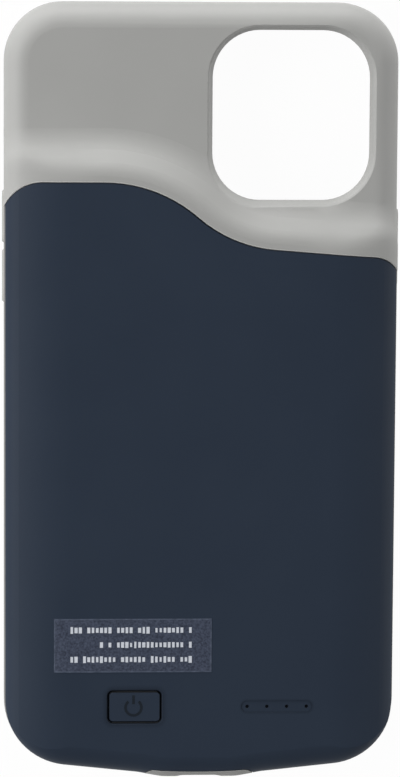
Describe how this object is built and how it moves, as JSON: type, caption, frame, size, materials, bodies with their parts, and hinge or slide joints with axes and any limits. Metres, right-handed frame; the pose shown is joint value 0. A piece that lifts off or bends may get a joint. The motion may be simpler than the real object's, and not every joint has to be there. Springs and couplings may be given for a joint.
{
  "type": "battery charging case",
  "caption": "Bumper case for a handset with a battery hump behind a curved seam: soft grey frame, dark back shell, camera opening, power key, indicator holes, charge socket and inner plug",
  "frame": {"origin": "middle of the case's outline, on the plane of the front rim that the case rests on", "axes": "+Z comes up out of the back, +Y points to the end with the camera opening, +X to the right seen from the back"},
  "size_m": [0.0792, 0.1554, 0.015],
  "materials": {
    "grey_elastomer": "matt moulded elastomer",
    "navy_soft_touch": "soft-touch coat",
    "grey_moulding": "fine moulded texture",
    "cell_foil": "satin laminate foil",
    "white_tape": "matt film",
    "black_foam": "open cell foam",
    "board_laminate": "solder mask",
    "nickel_strip": "rolled strip",
    "plated_steel": "nickel plate",
    "black_moulding": "moulded",
    "chip_resin": "moulded resin",
    "ferrite": "pressed ferrite",
    "capacitor_ceramic": "fired ceramic",
    "lamp_resin": "cast resin",
    "clear_moulding": "polished clear moulding",
    "white_moulding": "moulded",
    "gilt_contact": "gilt",
    "amber_film": "flat cable film"
  },
  "bodies": {
    "case": {"soft_frame": "grey_elastomer", "back_shell": "navy_soft_touch", "inner_tray": "grey_moulding", "battery_cell": "cell_foil", "cell_tapes": "white_tape", "cell_foam_pad": "black_foam", "protection_strip": "board_laminate", "cell_leads": "nickel_strip", "main_board": "board_laminate", "board_screws": "plated_steel", "charge_socket": "plated_steel", "socket_tongue": "black_moulding", "charge_controller": "chip_resin", "power_inductor": "ferrite", "board_capacitors": "capacitor_ceramic", "indicator_lamps": "lamp_resin", "light_shield": "black_foam", "light_guide": "clear_moulding", "key_switch": "black_moulding", "phone_plug": "plated_steel", "plug_contacts": "gilt_contact", "plug_seat": "grey_moulding", "plug_board": "board_laminate", "plug_flex": "amber_film"},
    "key": {"power_key": "navy_soft_touch", "switch_stem": "white_moulding"}
  },
  "joints": [
    {"name": "key_press", "type": "slide", "parent": "case", "child": "key", "axis": [0, 0, -1], "range_m": [0, 0.0003], "stiffness_N_per_m": 4000}
  ]
}
